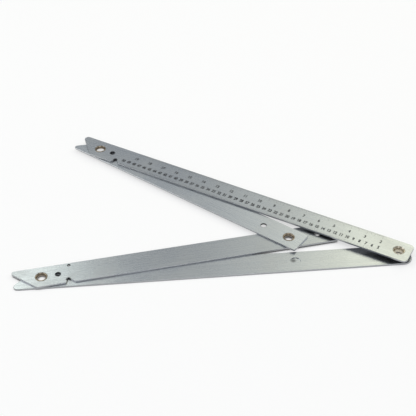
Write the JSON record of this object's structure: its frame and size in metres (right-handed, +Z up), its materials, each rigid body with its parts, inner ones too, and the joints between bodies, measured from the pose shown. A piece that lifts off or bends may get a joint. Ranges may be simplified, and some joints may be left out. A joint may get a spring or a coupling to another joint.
{
  "type": "folding square",
  "caption": "Folding aluminium set square: two flat legs hinged at the corner, one graduated, and a two-part brace that folds between them on hollow rivets.",
  "frame": {"origin": "centre of the bore of the hollow corner rivet, halfway up the stack of bars", "axes": "+Z up, along the corner rivet; the plain leg runs from the corner along -X; the graduated leg opens towards +Y"},
  "size_m": [0.5994, 0.3547, 0.011],
  "materials": {
    "bar_aluminium": "satin, brushed along the bar",
    "rivet_brass": "satin, slightly tarnished",
    "sleeve_aluminium": "turned",
    "washer_steel": "plain"
  },
  "bodies": {
    "plain_leg": {"plain_leg": "bar_aluminium", "corner_rivet": "rivet_brass", "corner_sleeve": "sleeve_aluminium", "lower_rivet": "rivet_brass", "lower_washer": "washer_steel"},
    "graduated_leg": {"graduated_leg": "bar_aluminium", "upper_rivet": "rivet_brass", "upper_washer": "washer_steel"},
    "upper_link": {"upper_link": "bar_aluminium", "middle_rivet_upper": "rivet_brass"},
    "lower_link": {"lower_link": "bar_aluminium", "middle_rivet_lower": "rivet_brass", "middle_washer": "washer_steel"}
  },
  "joints": [
    {"name": "corner_fold", "type": "hinge", "parent": "plain_leg", "child": "graduated_leg", "pos_m": [0, 0, 0], "axis": [0, 0, -1], "range_deg": [-33.58, 56.42]},
    {"name": "upper_link_fold", "type": "hinge", "parent": "graduated_leg", "child": "upper_link", "pos_m": [-0.44298, 0.29409, 0], "axis": [0, 0, -1], "range_deg": [-7.32, 37.68]},
    {"name": "lower_link_fold", "type": "hinge", "parent": "plain_leg", "child": "lower_link", "pos_m": [-0.53172, 0, 0], "axis": [0, 0, 1], "range_deg": [-7.32, 37.68]}
  ],
  "couplings": [
    {"joint": "lower_link_fold", "follows": "upper_link_fold", "ratio": 1},
    {"joint": "corner_fold", "follows": "upper_link_fold", "ratio": 1.4973}
  ]
}
